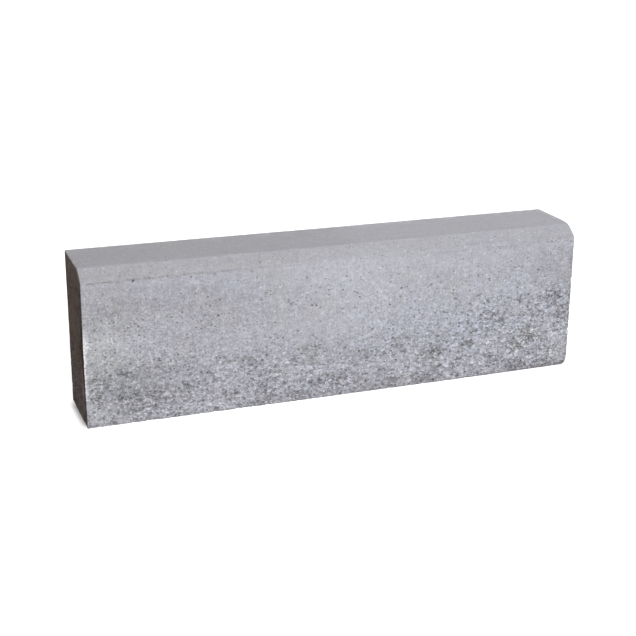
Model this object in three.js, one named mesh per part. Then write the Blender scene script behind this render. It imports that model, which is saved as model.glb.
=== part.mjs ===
// Concrete kerb stone: one solid precast block, standing on its base.
// Millimetres, +Z up. X runs along the kerb, -Y is the road (exposed) face,
// +Y the back face, z = 0 the bedding face.

import * as THREE from 'three';

// ---- driving dimensions ---------------------------------------------------
const LENGTH = 1000;          // end to end, along X
const WIDTH = 150;            // road face to back face, along Y
const HEIGHT = 300;           // bedding face to tread, along Z

const BATTER_BACK = 24;       // how far the top front corner is cut back
const BATTER_DOWN = 22;       // how far the same cut runs down the road face
const BREAK_TOP_R = 12.5;     // rounding where the cut meets the tread
const BREAK_FRONT_R = 8;      // rounding where the cut meets the road face
const BREAK_STEPS = 6;        // segments in each rounding

const ARRIS = 2;              // eased mould arris on the other long edges
const END_ARRIS = 1.5;        // eased arris round each end face

// ---- section --------------------------------------------------------------
// Corners run anticlockwise seen with the road face on the left; each has the
// radius (rounded) or the ease (cut straight across) that it is finished with.
const front = -WIDTH / 2;
const back = WIDTH / 2;
const corners = [
  { p: [front, 0], ease: ARRIS },
  { p: [back, 0], ease: ARRIS },
  { p: [back, HEIGHT], ease: ARRIS },
  { p: [front + BATTER_BACK, HEIGHT], radius: BREAK_TOP_R },
  { p: [front, HEIGHT - BATTER_DOWN], radius: BREAK_FRONT_R },
];

function unit(from, to) {
  return new THREE.Vector2(to[0] - from[0], to[1] - from[1]).normalize();
}

function sectionPoints() {
  const points = [];
  corners.forEach((corner, i) => {
    const before = corners[(i + corners.length - 1) % corners.length].p;
    const after = corners[(i + 1) % corners.length].p;
    const at = new THREE.Vector2(...corner.p);
    const toBefore = unit(corner.p, before);
    const toAfter = unit(corner.p, after);
    if (corner.ease) {
      points.push(at.clone().addScaledVector(toBefore, corner.ease));
      points.push(at.clone().addScaledVector(toAfter, corner.ease));
      return;
    }
    const half = Math.acos(THREE.MathUtils.clamp(toBefore.dot(toAfter), -1, 1)) / 2;
    const tangent = corner.radius / Math.tan(half);
    const bisector = toBefore.clone().add(toAfter).normalize();
    const centre = at.clone().addScaledVector(bisector, corner.radius / Math.sin(half));
    const start = at.clone().addScaledVector(toBefore, tangent).sub(centre);
    const sweep = Math.PI - 2 * half;
    for (let k = 0; k <= BREAK_STEPS; k += 1) {
      const turned = start.clone().rotateAround(new THREE.Vector2(0, 0), (sweep * k) / BREAK_STEPS);
      points.push(turned.add(centre));
    }
  });
  return points;
}

// ---- the block ------------------------------------------------------------
// The section is drawn in (y, z) and swept along X. The end arrises are the
// bevel of the sweep, taken inside the stated length and section.
function kerbGeometry() {
  const shape = new THREE.Shape(sectionPoints());
  const geometry = new THREE.ExtrudeGeometry(shape, {
    depth: LENGTH - 2 * END_ARRIS,
    steps: 1,
    bevelEnabled: true,
    bevelThickness: END_ARRIS,
    bevelSize: END_ARRIS,
    bevelOffset: -END_ARRIS,
    bevelSegments: 1,
  });
  geometry.translate(0, 0, -(LENGTH - 2 * END_ARRIS) / 2);
  // shape x -> Y, shape y -> Z, sweep -> X
  const toObject = new THREE.Matrix4().set(
    0, 0, 1, 0,
    1, 0, 0, 0,
    0, 1, 0, 0,
    0, 0, 0, 1,
  );
  geometry.applyMatrix4(toObject);
  return geometry;
}

const concrete = new THREE.MeshStandardMaterial({
  color: new THREE.Color('#8f8f95'),
  roughness: 0.93,
  metalness: 0,
});
concrete.name = 'cast_concrete';

const kerb = new THREE.Mesh(kerbGeometry(), concrete);
kerb.name = 'kerb_stone';

const object = new THREE.Group();
object.name = 'concrete_kerb_stone';
object.add(kerb);

export default object;
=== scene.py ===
import math

import bpy
import numpy as np
from mathutils import Matrix, Vector
from mathutils.geometry import delaunay_2d_cdt


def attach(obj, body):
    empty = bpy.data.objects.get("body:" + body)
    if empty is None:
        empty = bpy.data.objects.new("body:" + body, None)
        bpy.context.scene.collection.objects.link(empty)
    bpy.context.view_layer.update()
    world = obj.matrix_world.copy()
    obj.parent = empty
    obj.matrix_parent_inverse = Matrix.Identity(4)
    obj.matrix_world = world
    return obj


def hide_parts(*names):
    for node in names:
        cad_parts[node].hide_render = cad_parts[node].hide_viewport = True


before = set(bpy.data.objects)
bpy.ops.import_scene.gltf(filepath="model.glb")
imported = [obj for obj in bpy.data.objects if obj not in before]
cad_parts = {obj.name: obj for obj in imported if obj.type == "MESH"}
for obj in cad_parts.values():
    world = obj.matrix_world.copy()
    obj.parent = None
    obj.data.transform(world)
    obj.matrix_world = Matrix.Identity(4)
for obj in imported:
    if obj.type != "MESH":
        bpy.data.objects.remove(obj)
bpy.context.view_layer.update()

# ---------------------------------------------------------------------------
# Size of the block, in millimetres. X runs along the kerb, -Y is the road
# face, z = 0 is the bedding face.
# ---------------------------------------------------------------------------
LENGTH, WIDTH, HEIGHT = 1000.0, 150.0, 300.0
CUT_BACK, CUT_DOWN = 24.0, 22.0  # the cut along the top front edge
HALF = LENGTH / 2
FRONT, BACK = -WIDTH / 2, WIDTH / 2
TRIANGLES = 196000

F32 = np.float32


# ---------------------------------------------------------------------------
# Seeded noise on numpy arrays
# ---------------------------------------------------------------------------
def _mix(ix, iy, iz, seed):
    h = (
        ix.astype(np.uint32) * np.uint32(374761393)
        + iy.astype(np.uint32) * np.uint32(668265263)
        + iz.astype(np.uint32) * np.uint32(2246822519)
        + np.uint32((seed * 3266489917 + 374761393) & 0xFFFFFFFF)
    )
    h = (h ^ (h >> np.uint32(15))) * np.uint32(2246822519)
    h = (h ^ (h >> np.uint32(13))) * np.uint32(3266489917)
    return h ^ (h >> np.uint32(16))


def _unit(h, shift):
    return ((h >> np.uint32(shift)) & np.uint32(1023)).astype(F32) * F32(2 / 1023) - F32(1)


def noise(p, size, seed=0, stretch=(1, 1, 1)):
    """Gradient noise, about -1..1, with features of about `size` mm."""
    q = p / (np.asarray(stretch, F32) * F32(size))
    base = np.floor(q)
    f = (q - base).astype(F32)
    i = base.astype(np.int64)
    w = f * f * f * (f * (f * 6 - 15) + 10)
    total = np.zeros(len(p), F32)
    for dx in (0, 1):
        wx = w[:, 0] if dx else 1 - w[:, 0]
        for dy in (0, 1):
            wy = w[:, 1] if dy else 1 - w[:, 1]
            for dz in (0, 1):
                wz = w[:, 2] if dz else 1 - w[:, 2]
                h = _mix(i[:, 0] + dx, i[:, 1] + dy, i[:, 2] + dz, seed)
                dot = (
                    _unit(h, 0) * (f[:, 0] - dx)
                    + _unit(h, 10) * (f[:, 1] - dy)
                    + _unit(h, 20) * (f[:, 2] - dz)
                )
                total += wx * wy * wz * dot
    return total * F32(1.45)


def fbm(p, size, octaves, seed=0, gain=0.5, stretch=(1, 1, 1)):
    total, amp, norm = 0, 1.0, 0.0
    for k in range(octaves):
        total = total + noise(p, size / 2**k, seed + 17 * k, stretch) * F32(amp)
        norm += amp
        amp *= gain
    return total / F32(norm)


def pits(p, cell, chance, r_low, r_high, seed):
    """Depth (mm) of round-bottomed pits, one at most in each cell of the grid."""
    q = p / F32(cell)
    base = np.floor(q - F32(0.5)).astype(np.int64)
    depth = np.zeros(len(p), F32)
    for dx in (0, 1):
        for dy in (0, 1):
            for dz in (0, 1):
                cx, cy, cz = base[:, 0] + dx, base[:, 1] + dy, base[:, 2] + dz
                h = _mix(cx, cy, cz, seed)
                g = _mix(cx, cy, cz, seed + 7919)
                on = (g & np.uint32(0xFFFF)).astype(F32) / F32(65535)
                t = ((g >> np.uint32(16)) & np.uint32(0xFFFF)).astype(F32) / F32(65535)
                centre = np.stack(
                    [
                        cx + F32(0.5) + _unit(h, 0) * F32(0.25),
                        cy + F32(0.5) + _unit(h, 10) * F32(0.25),
                        cz + F32(0.5) + _unit(h, 20) * F32(0.25),
                    ],
                    1,
                ) * F32(cell)
                r = F32(r_low) + F32(r_high - r_low) * t * t
                d = np.linalg.norm(p - centre, axis=1)
                bowl = np.sqrt(np.maximum(r * r - d * d, 0))
                depth = np.maximum(depth, np.where(on < chance, bowl, 0))
    return depth


def smooth(x, low, high):
    t = np.clip((x - low) / (high - low), 0, 1)
    return t * t * (3 - 2 * t)


def blob(p, x, z, rx, rz, turn=0.0):
    """Soft patch on the road face, 1 at its middle."""
    c, s = math.cos(math.radians(turn)), math.sin(math.radians(turn))
    dx, dz = p[:, 0] - x, p[:, 2] - z
    d = ((dx * c + dz * s) / rx) ** 2 + ((dz * c - dx * s) / rz) ** 2
    return np.exp(-d * 1.2)


# ---------------------------------------------------------------------------
# The block before wear: a sharp prism with a fine grid on every face
# ---------------------------------------------------------------------------
def spaced(a, b, step, fine=0.7, near=4.0, ends=(True, True)):
    """Stations from a to b, closer together beside an arris."""
    length = abs(b - a)
    marks = [0.0]
    while marks[-1] < length:
        here = marks[-1]
        d = min(here if ends[0] else 1e9, length - here if ends[1] else 1e9)
        marks.append(here + (fine if d < near else step))
    marks = np.array(marks) * (length / marks[-1])
    return a + (b - a) * marks / length


def section_outline():
    """Closed outline in (y, z), from the front bottom corner up the road face and round."""
    corners = [
        (FRONT, 0.0),
        (FRONT, HEIGHT - CUT_DOWN),
        (FRONT + CUT_BACK, HEIGHT),
        (BACK, HEIGHT),
        (BACK, 0.0),
    ]
    steps = [1.45, 1.25, 1.6, 2.3, 3.2]
    out = []
    for k, step in enumerate(steps):
        a, b = np.array(corners[k]), np.array(corners[(k + 1) % 5])
        t = spaced(0, np.linalg.norm(b - a), step)
        t = t[:-1] / t[-1]
        out.append(a + (b - a) * t[:, None])
    return np.concatenate(out)


def build_prism():
    ring = section_outline()
    n = len(ring)
    xs = spaced(-HALF, HALF, 1.45)
    m = len(xs)
    grid = np.zeros((m, n, 3))
    grid[:, :, 0] = xs[:, None]
    grid[:, :, 1:] = ring[None]
    verts = [grid.reshape(-1, 3)]
    i = np.arange(m - 1)[:, None] * n
    j = np.arange(n)[None]
    jn = (j + 1) % n
    quads = np.stack([i + j, i + n + j, i + n + jn, i + jn], -1).reshape(-1, 4)
    tris = [quads[:, [0, 1, 2]], quads[:, [0, 2, 3]]]

    # end faces: the outline's own points, plus a seeded scatter inside it
    rng = np.random.default_rng(41)
    step = 1.9
    gy, gz = np.meshgrid(
        np.arange(FRONT + 1.2, BACK - 1.0, step), np.arange(1.2, HEIGHT - 1.0, step * 0.92)
    )
    gy = gy + (np.arange(gy.shape[0]) % 2)[:, None] * step / 2
    inner = np.stack([gy.ravel(), gz.ravel()], 1)
    inner += rng.uniform(-0.25, 0.25, inner.shape)
    nc = np.array([-CUT_DOWN, CUT_BACK]) / math.hypot(CUT_DOWN, CUT_BACK)
    cut = (inner - np.array([FRONT, HEIGHT - CUT_DOWN])) @ nc
    keep = (
        (cut < -1.0)
        & (inner[:, 0] > FRONT + 0.8)
        & (inner[:, 0] < BACK - 0.8)
        & (inner[:, 1] > 0.8)
        & (inner[:, 1] < HEIGHT - 0.8)
    )
    inner = inner[keep]
    points = [Vector(v) for v in np.concatenate([ring, inner])]
    edges = [(k, (k + 1) % n) for k in range(n)]
    made, _, faces, origin, _, _ = delaunay_2d_cdt(points, edges, [], 1, 1e-6)
    source = [o[0] if o else -1 for o in origin]
    assert min(source) >= 0 and len(made) == len(points)
    faces = np.array([[source[v] for v in f] for f in faces])
    flat = np.concatenate([ring, inner])
    a, b, c = (flat[faces[:, k]] for k in range(3))
    area = (b[:, 0] - a[:, 0]) * (c[:, 1] - a[:, 1]) - (b[:, 1] - a[:, 1]) * (c[:, 0] - a[:, 0])
    faces = np.where((area > 0)[:, None], faces, faces[:, ::-1])
    count = m * n
    for end, x, flip in ((0, -HALF, True), (m - 1, HALF, False)):
        lift = np.where(faces < n, faces + end * n, faces - n + count)
        verts.append(np.column_stack([np.full(len(inner), x), inner]))
        count += len(inner)
        tris.append(lift[:, ::-1] if flip else lift)
    verts = np.concatenate(verts).astype(F32)
    tris = np.concatenate(tris)
    # the outline runs clockwise seen from +X, so the sides are turned to face out
    sides = 2 * len(quads)
    a, b, c = (verts[tris[:sides, k]] for k in range(3))
    normal = np.cross(b - a, c - a)
    middle = (a + b + c) / 3 - np.array([0, 0, HEIGHT / 2], F32)
    outward = (normal[:, 1:] * middle[:, 1:]).sum(1).mean() > 0
    if not outward:
        tris[:sides] = tris[:sides, ::-1]
    return verts, tris


# ---------------------------------------------------------------------------
# Wear and relief
# ---------------------------------------------------------------------------
def round_meet(a, ga, b, gb, r):
    """Rounded meeting of two faces: the distance and its gradient."""
    u, v = np.maximum(a + r, 0), np.maximum(b + r, 0)
    length = np.sqrt(u * u + v * v)
    value = np.minimum(-r, np.maximum(a, b)) + length
    safe = np.maximum(length, 1e-6)
    blend = (ga * u[:, None] + gb * v[:, None]) / safe[:, None]
    hard = np.where((a > b)[:, None], ga, gb)
    return value, np.where((length > 1e-6)[:, None], blend, hard)


def face_fields(p):
    """Distance past each face of the sharp block, and the faces' outward normals."""
    c = math.hypot(CUT_DOWN, CUT_BACK)
    nc = (0.0, -CUT_DOWN / c, CUT_BACK / c)
    flat = lambda n: np.tile(np.array(n, F32), (len(p), 1))
    front = (FRONT - p[:, 1], flat((0, -1, 0)))
    cut = (
        (p[:, 1] - FRONT) * F32(nc[1]) + (p[:, 2] - (HEIGHT - CUT_DOWN)) * F32(nc[2]),
        flat(nc),
    )
    top = (p[:, 2] - HEIGHT, flat((0, 0, 1)))
    back = (p[:, 1] - BACK, flat((0, 1, 0)))
    under = (-p[:, 2], flat((0, 0, -1)))
    end = (np.abs(p[:, 0]) - HALF, np.stack([np.sign(p[:, 0]), p[:, 0] * 0, p[:, 0] * 0], 1))
    return front, cut, top, back, under, end


def block_field(p, radii):
    front, cut, top, back, under, end = face_fields(p)
    d, g = round_meet(*top, *cut, radii["top_break"])
    d, g = round_meet(d, g, *front, radii["front_break"])
    d, g = round_meet(d, g, *back, radii["back"])
    d, g = round_meet(d, g, *under, radii["under"])
    return round_meet(d, g, *end, radii["end"])


# Where the road face's lower, open-grained concrete is darkest: x, z, half
# widths, turn, strength.
DARK_PATCHES = [
    (-475, 92, 22, 13, 0, 0.60),
    (-432, 96, 26, 12, 0, 0.70),
    (-477, 56, 16, 14, 0, 0.60),
    (-428, 58, 26, 18, 0, 0.65),
    (-366, 50, 42, 20, 0, 0.60),
    (-402, 40, 16, 10, 0, 0.60),
    (-348, 102, 24, 14, 0, 0.60),
    (-412, 24, 30, 10, 0, 0.50),
    (-309, 61, 16, 12, 0, 0.45),
    (-264, 72, 16, 15, 0, 0.50),
    (-232, 106, 30, 12, 0, 0.40),
    (-182, 92, 28, 18, 0, 0.65),
    (-212, 32, 26, 9, 0, 0.55),
    (-157, 24, 24, 22, 0, 0.60),
    (-139, 61, 13, 12, 0, 0.60),
    (-98, 85, 15, 14, 0, 0.45),
    (-62, 96, 30, 22, 0, 0.60),
    (-69, 62, 20, 9, 0, 0.50),
    (-86, 16, 36, 11, 0, 0.55),
    (-43, 35, 26, 13, 0, 0.75),
    (6, 28, 26, 13, 0, 0.60),
    (14, 80, 11, 8, 0, 0.40),
    (30, 64, 10, 7, 0, 0.45),
    (48, 84, 22, 13, 0, 0.35),
    (88, 78, 12, 8, 0, 0.55),
    (42, 20, 22, 9, 0, 0.60),
    (84, 36, 17, 13, 0, 0.80),
    (108, 18, 22, 12, 0, 0.70),
    (132, 78, 22, 12, 0, 0.60),
    (150, 22, 28, 10, 0, 0.60),
    (163, 58, 18, 12, 0, 0.60),
    (197, 64, 19, 22, 0, 0.95),
    (184, 16, 26, 12, 0, 0.85),
    (204, 34, 14, 11, 0, 0.60),
    (272, 73, 15, 11, 0, 0.70),
    (246, 30, 22, 10, 0, 0.50),
    (310, 98, 18, 9, 0, 0.60),
    (327, 124, 17, 13, 0, 0.75),
    (345, 117, 13, 11, 0, 0.65),
    (320, 38, 28, 13, 0, 0.70),
    (346, 27, 28, 11, 0, 0.60),
    (379, 61, 24, 18, 0, 0.80),
    (408, 84, 20, 20, 0, 0.95),
    (385, 14, 34, 13, 0, 0.90),
    (414, 39, 28, 9, 0, 0.60),
    (436, 130, 24, 12, 0, 0.60),
    (463, 158, 22, 20, 0, 0.95),
    (474, 124, 20, 18, 0, 0.65),
    (456, 16, 36, 13, 0, 0.85),
    (444, 41, 17, 9, 0, 0.60),
    (380, 156, 11, 8, 0, 0.50),
    (320, 159, 18, 7, 0, 0.35),
]
# Drier, paler places on the road face.
PALE_PATCHES = [
    (-440, 158, 56, 28, 0, 0.90),
    (-486, 128, 16, 50, 0, 0.40),
    (-285, 263, 24, 5, -8, 0.80),
    (-224, 236, 18, 8, 0, 0.60),
    (0, 244, 86, 34, 0, 0.50),
    (60, 196, 70, 28, 0, 0.45),
    (-292, 18, 50, 15, 0, 0.55),
    (-225, 66, 40, 14, 0, 0.45),
    (-103, 67, 15, 8, 0, 0.80),
    (-144, 73, 10, 6, 0, 0.60),
    (127, 38, 28, 8, 0, 0.55),
    (232, 128, 50, 40, 0, 0.50),
    (382, 190, 26, 20, 0, 0.70),
    (386, 140, 13, 12, 0, 0.90),
    (330, 72, 22, 15, 0, 0.65),
    (285, 160, 12, 16, 0, 0.50),
    (474, 66, 22, 22, 0, 0.65),
    (-170, 118, 20, 10, 0, 0.45),
]
# Slow changes of tone on the road face: the last number is the change itself.
FIELD = [
    (-320, 235, 190, 44, 0, -0.090),
    (-450, 236, 60, 50, 0, -0.085),
    (-395, 118, 90, 30, 0, -0.085),
    (-210, 180, 150, 34, 0, -0.055),
    (330, 88, 140, 36, 0, 0.080),
    (148, 106, 40, 20, 0, -0.075),
    (-395, 68, 58, 34, 0, -0.240),
    (-400, 10, 90, 9, 0, 0.050),
    (-470, 80, 40, 40, 0, -0.060),
    (-120, 112, 150, 20, 0, -0.050),
    (-40, 18, 90, 16, 0, -0.070),
    (110, 16, 90, 14, 0, -0.050),
    (196, 66, 34, 34, 0, -0.070),
    (380, 16, 90, 16, 0, -0.060),
    (475, 148, 34, 34, 0, -0.090),
    (320, 120, 34, 16, 0, -0.045),
    # painted shade: a narrow darker band just under the break at the right
    (310, 271, 190, 5, 0, -0.050),
    (456, 218, 54, 42, 0, -0.085),
    (20, 240, 110, 44, 0, 0.055),
    (210, 235, 110, 44, 0, 0.015),
    (-460, 190, 60, 60, 0, -0.020),
    (60, 175, 120, 34, 0, 0.025),
    (250, 150, 60, 34, 0, 0.020),
    (-440, 160, 70, 26, 0, 0.050),
    (480, 66, 22, 24, 0, 0.050),
]
# Where the grain stands out less or more than around it.
GRAIN_FIELD = [
    (-365, 74, 64, 30, 0, -0.32),
    (-120, 146, 150, 36, 0, -0.22),
    (-34, 132, 56, 30, 0, -0.26),
    (140, 118, 84, 32, 0, 0.22),
    (430, 46, 90, 24, 0, 0.16),
    (60, 206, 70, 30, 0, 0.18),
    (-400, 194, 42, 20, 0, 0.26),
    (36, 44, 36, 20, 0, -0.24),
]
# The same slow changes on the tread (x, y) and on the left end (y, z).
TREAD_FIELD = [
    (-240, -15, 70, 20, 8, -0.042),
    (-80, -24, 80, 15, 0, -0.034),
    (-430, 20, 50, 26, 0, -0.022),
    (-330, -30, 40, 12, 0, 0.020),
    (-140, 35, 70, 16, 6, 0.024),
    (-330, 44, 50, 16, 0, 0.020),
    (-20, 45, 60, 14, 0, -0.018),
    (60, 60, 60, 10, 0, -0.030),
    (150, -20, 60, 12, 0, -0.018),
    (320, -10, 120, 16, 0, 0.014),
]
END_FIELD = [
    (-62, 150, 19, 64, 0, -0.50),
    (-66, 225, 12, 60, 0, -0.30),
    (-67, 60, 10, 60, 0, -0.35),
    (-50, 62, 9, 34, 0, 0.80),
    (-44, 100, 7, 8, 0, 0.30),
    (-26, 122, 9, 8, 0, -0.30),
    (-42, 146, 16, 10, 0, -0.30),
    (-30, 90, 8, 30, 0, -0.15),
    (-36, 222, 12, 10, 0, -0.30),
    (-40, 253, 18, 8, 20, -0.24),
    (30, 284, 30, 14, 0, 0.34),
    (-20, 268, 22, 12, 0, 0.26),
    (10, 205, 40, 34, 0, 0.20),
    (66, 190, 8, 90, 0, -0.22),
    (20, 60, 34, 40, 0, 0.22),
    (-10, 18, 40, 8, 0, -0.20),
    (52, 14, 18, 14, 0, -0.30),
    (-58, 26, 12, 12, 0, 0.30),
]
# Greener and bluer places.
GREEN_PATCHES = [
    (-128, 205, 18, 66, 0, 0.9),
    (-462, 140, 90, 130, 0, 0.95),
    (126, 236, 26, 28, 0, 0.7),
    (-34, 190, 26, 14, 0, 0.7),
    (-255, 182, 36, 26, 0, 0.6),
    (228, 186, 26, 26, 0, 0.8),
    (-62, 92, 24, 18, 0, 0.8),
    (-140, 60, 12, 12, 0, 0.7),
    (168, 60, 20, 26, 0, 0.8),
    (205, 60, 18, 20, 0, 0.7),
    (272, 72, 14, 10, 0, 1.0),
    (408, 84, 24, 18, 0, 0.9),
    (380, 62, 22, 16, 0, 0.8),
    (468, 32, 28, 18, 0, 0.6),
    (-310, 62, 16, 12, 0, 0.5),
    (120, 276, 60, 8, 0, 0.5),
    (-150, 262, 14, 24, 0, 0.5),
    (440, 214, 24, 16, 0, 0.5),
]
BLUE_PATCHES = [
    (240, 122, 250, 66, 0, 0.85),
    (360, 180, 110, 40, 0, 0.6),
    (0, 234, 30, 14, 0, 0.8),
    (-330, 256, 62, 15, 0, 0.8),
    (30, 156, 30, 12, 0, 0.7),
    (52, 90, 60, 30, 0, 0.6),
    (128, 122, 60, 26, 0, 0.6),
    (248, 128, 60, 50, 0, 0.9),
    (300, 188, 44, 18, 0, 0.6),
    (452, 258, 50, 10, 0, 0.7),
    (-362, 88, 40, 8, 0, 0.6),
    (-178, 116, 36, 12, 0, 0.7),
    (-222, 238, 14, 8, 0, 0.6),
    (150, 36, 40, 12, 0, 0.4),
    (-40, 62, 30, 20, 0, 0.4),
]
# Voids in the open-grained part, cut into the surface: x, z, half widths, depth in mm.
VOIDS = [
    (-482, 93, 5.5, 3.6, 1.6),
    (-434, 97, 7.0, 3.4, 2.0),
    (-417, 99, 3.6, 2.6, 1.2),
    (-476, 58, 5.0, 5.0, 1.5),
    (-432, 61, 5.0, 4.6, 1.8),
    (-410, 55, 5.6, 3.8, 1.9),
    (-400, 43, 4.6, 4.4, 2.0),
    (-412, 32, 4.0, 3.4, 1.4),
    (-384, 27, 3.2, 2.6, 1.3),
    (-386, 6, 4.4, 4.0, 2.0),
    (-360, 38, 17.0, 2.2, 1.1),
    (-308, 62, 4.6, 3.6, 1.6),
    (-269, 81, 4.6, 3.0, 1.3),
    (-187, 85, 6.0, 3.4, 1.5),
    (-174, 90, 4.0, 3.0, 1.3),
    (-154, 102, 2.6, 4.4, 1.4),
    (-212, 32, 9.0, 3.0, 1.3),
    (-164, 35, 5.0, 4.0, 1.6),
    (-151, 12, 6.0, 6.0, 1.9),
    (-98, 89, 3.0, 5.0, 1.3),
    (-93, 17, 6.0, 4.0, 1.9),
    (-112, 12, 4.2, 3.4, 1.4),
    (-46, 34, 5.6, 4.4, 2.1),
    (-19, 42, 4.2, 3.0, 1.9),
    (29, 64, 4.0, 3.4, 1.5),
    (88, 77, 5.0, 3.6, 1.7),
    (80, 42, 5.4, 2.8, 2.0),
    (130, 74, 8.0, 3.0, 1.5),
    (108, 17, 5.0, 5.0, 1.7),
    (184, 17, 7.0, 4.0, 2.1),
    (183, 111, 3.6, 2.8, 1.6),
    (204, 99, 3.6, 2.8, 1.9),
    (193, 66, 5.0, 4.4, 2.2),
    (262, 101, 4.0, 3.2, 1.9),
    (272, 75, 8.0, 7.5, 1.7),
    (298, 131, 4.8, 2.6, 2.0),
    (326, 127, 5.6, 3.2, 2.3),
    (345, 118, 5.4, 4.4, 1.7),
    (310, 160, 3.2, 2.8, 1.3),
    (357, 162, 3.2, 2.6, 1.3),
    (380, 155, 3.8, 3.0, 1.3),
    (463, 160, 5.6, 5.0, 1.9),
    (472, 150, 5.0, 4.0, 1.6),
    (411, 72, 6.4, 3.8, 2.2),
    (388, 52, 5.4, 3.0, 1.7),
    (404, 94, 5.4, 3.4, 1.8),
    (320, 40, 3.8, 3.6, 1.9),
    (372, 12, 6.4, 4.4, 2.2),
    (395, 8, 5.2, 4.0, 2.0),
    (446, 15, 5.0, 4.0, 1.8),
    (461, 9, 5.4, 3.8, 2.0),
    (490, 101, 3.0, 5.0, 1.3),
    (-256, 5, 5.2, 4.2, 2.4),
    (-411, 5, 4.6, 3.8, 2.2),
    (-210, 7, 5.0, 3.6, 2.2),
    (-450, 5, 4.4, 3.6, 2.0),
    (-331, 5, 4.6, 3.4, 1.8),
    (-458, 29, 3.8, 3.2, 1.9),
    (491, 8, 4.2, 4.2, 2.0),
    (479, 5, 4.4, 3.4, 1.9),
]

# Small holes on the road face, cut in and painted dark as shade inside them: x and z in mm, radius, strength.
SPOTS = [
    (-404, 274.6, 2.6, 1.0),
    (-384, 279.0, 1.9, 0.6),
    (-375, 277.6, 1.8, 0.55),
    (-343, 279.2, 2.0, 0.6),
    (-309, 277.2, 1.6, 0.5),
    (-181, 271, 2.2, 0.45),
    (-226, 276.6, 1.5, 0.4),
    (-54, 190, 1.9, 0.8),
    (-62, 192, 1.7, 0.6),
    (-46, 185, 1.7, 0.5),
    (-104, 198, 2.2, 0.55),
    (-95, 197, 1.9, 0.45),
    (-95, 247, 1.7, 0.4),
    (30, 207, 2.6, 0.5),
    (122, 207, 2.5, 0.75),
    (120, 190, 2.5, 0.5),
    (118, 178, 2.0, 0.4),
    (185, 208, 2.8, 0.65),
    (200, 222, 2.4, 0.45),
    (287, 217, 2.2, 0.5),
    (325, 231, 1.9, 0.4),
    (378, 227, 1.9, 0.4),
    (-387, 166, 1.9, 0.6),
    (-398, 188, 2.0, 0.6),
    (-394, 184, 1.8, 0.5),
    (-412, 195, 2.0, 0.45),
    (-465, 205, 2.2, 0.55),
    (-247, 192, 2.1, 0.65),
    (-240, 194, 1.7, 0.55),
    (-227, 193, 1.6, 0.4),
    (-261, 174, 2.0, 0.6),
    (-296, 190, 2.0, 0.45),
    (-266, 230, 1.9, 0.6),
    (-290, 239, 2.0, 0.5),
    (-316, 204, 1.7, 0.5),
    (-215, 162, 1.9, 0.45),
    (-242, 148, 1.7, 0.4),
    (-132, 134, 2.0, 0.55),
    (-121, 133, 1.7, 0.7),
    (-60, 132, 2.2, 0.5),
    (28, 175, 2.0, 0.4),
    (0, 178, 2.0, 0.4),
    (253, 203, 2.0, 0.4),
    (417, 190, 2.4, 0.5),
    (424, 216, 2.0, 0.45),
]
# White grains: x and z in mm, radius, strength.
GRAINS = [
    (-38, 276.4, 2.6, 1.0),
    (22, 275, 2.2, 0.8),
    (-53, 271, 1.8, 0.5),
    (-105, 190, 2.2, 0.6),
    (-84, 141, 2.4, 0.9),
    (-75, 140, 1.8, 0.5),
    (-22, 216, 2.0, 0.6),
    (75, 196, 2.4, 0.5),
    (75, 146, 2.6, 0.6),
    (50, 105, 2.4, 0.6),
    (-329, 209, 3.0, 0.5),
    (-270, 191, 2.8, 0.6),
    (-173, 213, 3.2, 0.8),
    (-230, 203, 2.0, 0.6),
    (-263, 204, 1.7, 0.4),
    (-357, 268, 1.8, 0.5),
    (-273, 77, 3.0, 0.7),
    (-423, 48, 2.2, 0.7),
    (-437, 200, 1.7, 0.4),
    (350, 53, 3.4, 0.8),
    (440, 28, 3.0, 0.6),
    (320, 28, 2.6, 0.5),
    (215, 91, 2.6, 0.5),
    (120, 126, 2.8, 0.5),
    (186, 208, 1.6, 0.6),
]
# Pale scrapes on the road face: x and z of both ends in mm, half width, strength.
SCRAPES = [
    (-449, 172, -446.5, 160, 1.2, 1.0),
    (-381, 137, -372, 107, 1.3, 0.75),
    (-366, 100, -363, 92, 1.4, 0.5),
    (-300, 262, -276, 258, 1.3, 0.5),
    (-296, 265, -285, 263, 1.3, 0.35),
    (-468, 141, -464, 128, 0.9, 0.4),
    (-168, 137, -152, 134, 1.0, 0.4),
    (-497, 277.5, -478, 279.5, 1.0, 0.45),
    (-330, 122, -326, 108, 0.9, 0.35),
    (-207, 241, -203, 230, 1.5, 0.35),
]


def patches(p, table):
    out = np.zeros(len(p), F32)
    for x, z, rx, rz, turn, much in table:
        out = np.maximum(out, blob(p, x, z, rx, rz, turn) * much)
    return out.astype(F32)


def total(p, table):
    out = np.zeros(len(p), F32)
    for x, z, rx, rz, turn, much in table:
        out += blob(p, x, z, rx, rz, turn) * much
    return out.astype(F32)


def scattered(seed, count, across, up, wide, tall, much):
    """Seeded places, thicker towards the bottom, for the faces with no placed ones."""
    rng = np.random.default_rng(seed)
    rows = []
    for _ in range(count):
        h = up[0] + (up[1] - up[0]) * rng.random() ** 1.5
        rows.append((rng.uniform(*across), h, rng.uniform(*wide), rng.uniform(*tall), 0, rng.uniform(*much)))
    return rows


BACK_DARK = scattered(501, 44, (-490, 490), (8, 200), (12, 36), (8, 20), (0.35, 0.85))
BACK_PALE = scattered(502, 14, (-480, 480), (20, 270), (20, 60), (10, 26), (0.4, 0.8))
LEFT_DARK = scattered(503, 8, (-66, 66), (10, 190), (9, 22), (8, 16), (0.35, 0.75))
RIGHT_DARK = scattered(504, 10, (-66, 66), (10, 210), (9, 24), (8, 18), (0.35, 0.85))


def bare(table):
    return [(u, v, ru, rv, much) for u, v, ru, rv, _, much in table]


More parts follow.
